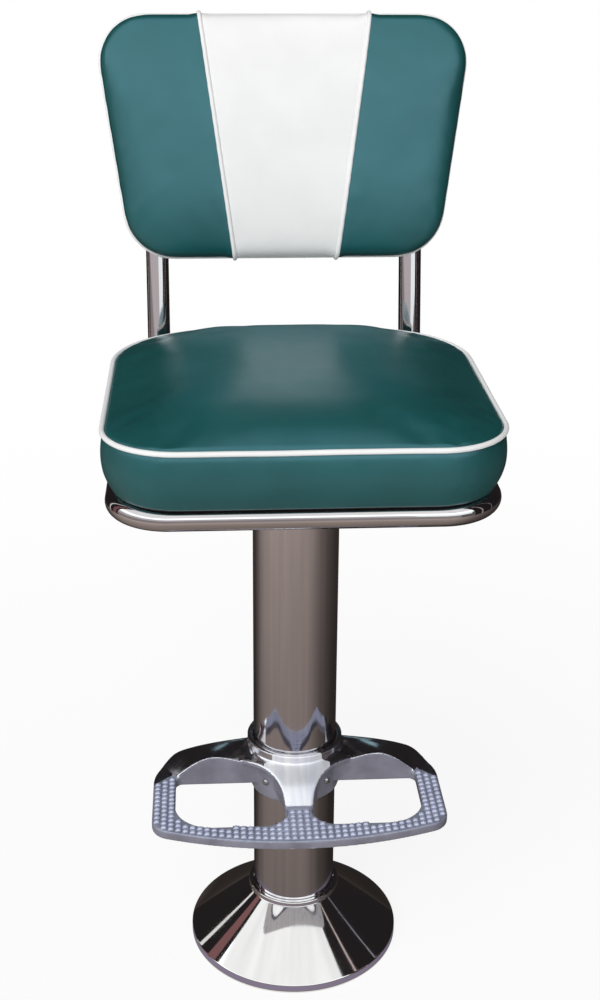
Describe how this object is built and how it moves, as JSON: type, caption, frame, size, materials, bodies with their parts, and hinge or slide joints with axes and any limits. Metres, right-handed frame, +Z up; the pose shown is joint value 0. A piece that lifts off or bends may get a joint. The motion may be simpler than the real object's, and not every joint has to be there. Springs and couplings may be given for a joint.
{
  "type": "counter stool",
  "caption": "Counter stool with a swivelling upholstered seat and back on a chromed column with a cast footrest and a cone-shaped floor cover.",
  "frame": {"origin": "on the floor, at the middle of the floor flange and of its ring of floor bolts, on the column's axis", "axes": "+Z up along the column; the sitter faces -Y, and +X is on the right in the picture"},
  "size_m": [0.4574, 0.5582, 1.1226],
  "materials": {
    "base_plate": "dark cast iron, hidden under the cone cover",
    "base_chrome": "bright chrome plate on a spun steel cone",
    "cast_aluminium": "cast aluminium, polished arms and a duller studded tread",
    "fastener": "zinc-bright steel",
    "column_chrome": "bright chrome plate on steel tube",
    "inner_steel": "turned steel, greased",
    "bushing": "sintered bronze",
    "bearing_steel": "ground bearing steel",
    "spider": "black paint on pressed and welded steel",
    "frame_chrome": "bright chrome plate on bent steel tube",
    "rail": "black paint on square steel tube",
    "plug": "black plastic",
    "board": "plywood, unfinished",
    "teal_vinyl": "dark teal vinyl with a fine leather grain, semi-gloss",
    "white_vinyl": "white vinyl with a fine leather grain, semi-gloss"
  },
  "bodies": {
    "pedestal": {"floor_flange": "base_plate", "cone_cover": "base_chrome", "footrest_casting": "cast_aluminium", "footrest_screws": "fastener", "column_tube": "column_chrome", "swivel_housing": "inner_steel", "lower_bushing": "bushing", "upper_bushing": "bushing", "lower_race": "bearing_steel"},
    "ball_ring": {"bearing_balls": "bearing_steel", "ball_cage": "bushing"},
    "seat": {"upper_race": "bearing_steel", "seat_spider": "spider", "spider_pin": "bearing_steel", "swivel_spindle": "inner_steel", "thrust_washer": "bearing_steel", "snap_ring": "bearing_steel", "seat_ring": "frame_chrome", "front_cross_rail": "rail", "rear_cross_rail": "rail", "spider_bolts": "fastener", "upright_bolts": "fastener", "left_upright": "frame_chrome", "right_upright": "frame_chrome", "upright_plugs": "plug", "back_bolts": "fastener", "seat_board": "board", "seat_cushion": "teal_vinyl", "seat_piping": "white_vinyl", "back_board": "board", "back_panel_left": "teal_vinyl", "back_panel_right": "teal_vinyl", "back_panel_centre": "white_vinyl", "back_rear_panel": "teal_vinyl", "back_edge_piping": "white_vinyl", "left_seam_piping": "white_vinyl", "right_seam_piping": "white_vinyl"}
  },
  "joints": [
    {"name": "seat_swivel", "type": "hinge", "parent": "pedestal", "child": "seat", "pos_m": [0, 0, 0.6093], "axis": [0, 0, 1], "continuous": true},
    {"name": "bearing_ring_turn", "type": "hinge", "parent": "pedestal", "child": "ball_ring", "pos_m": [0, 0, 0.6093], "axis": [0, 0, 1], "continuous": true}
  ],
  "couplings": [
    {"joint": "bearing_ring_turn", "follows": "seat_swivel", "ratio": 0.5}
  ]
}
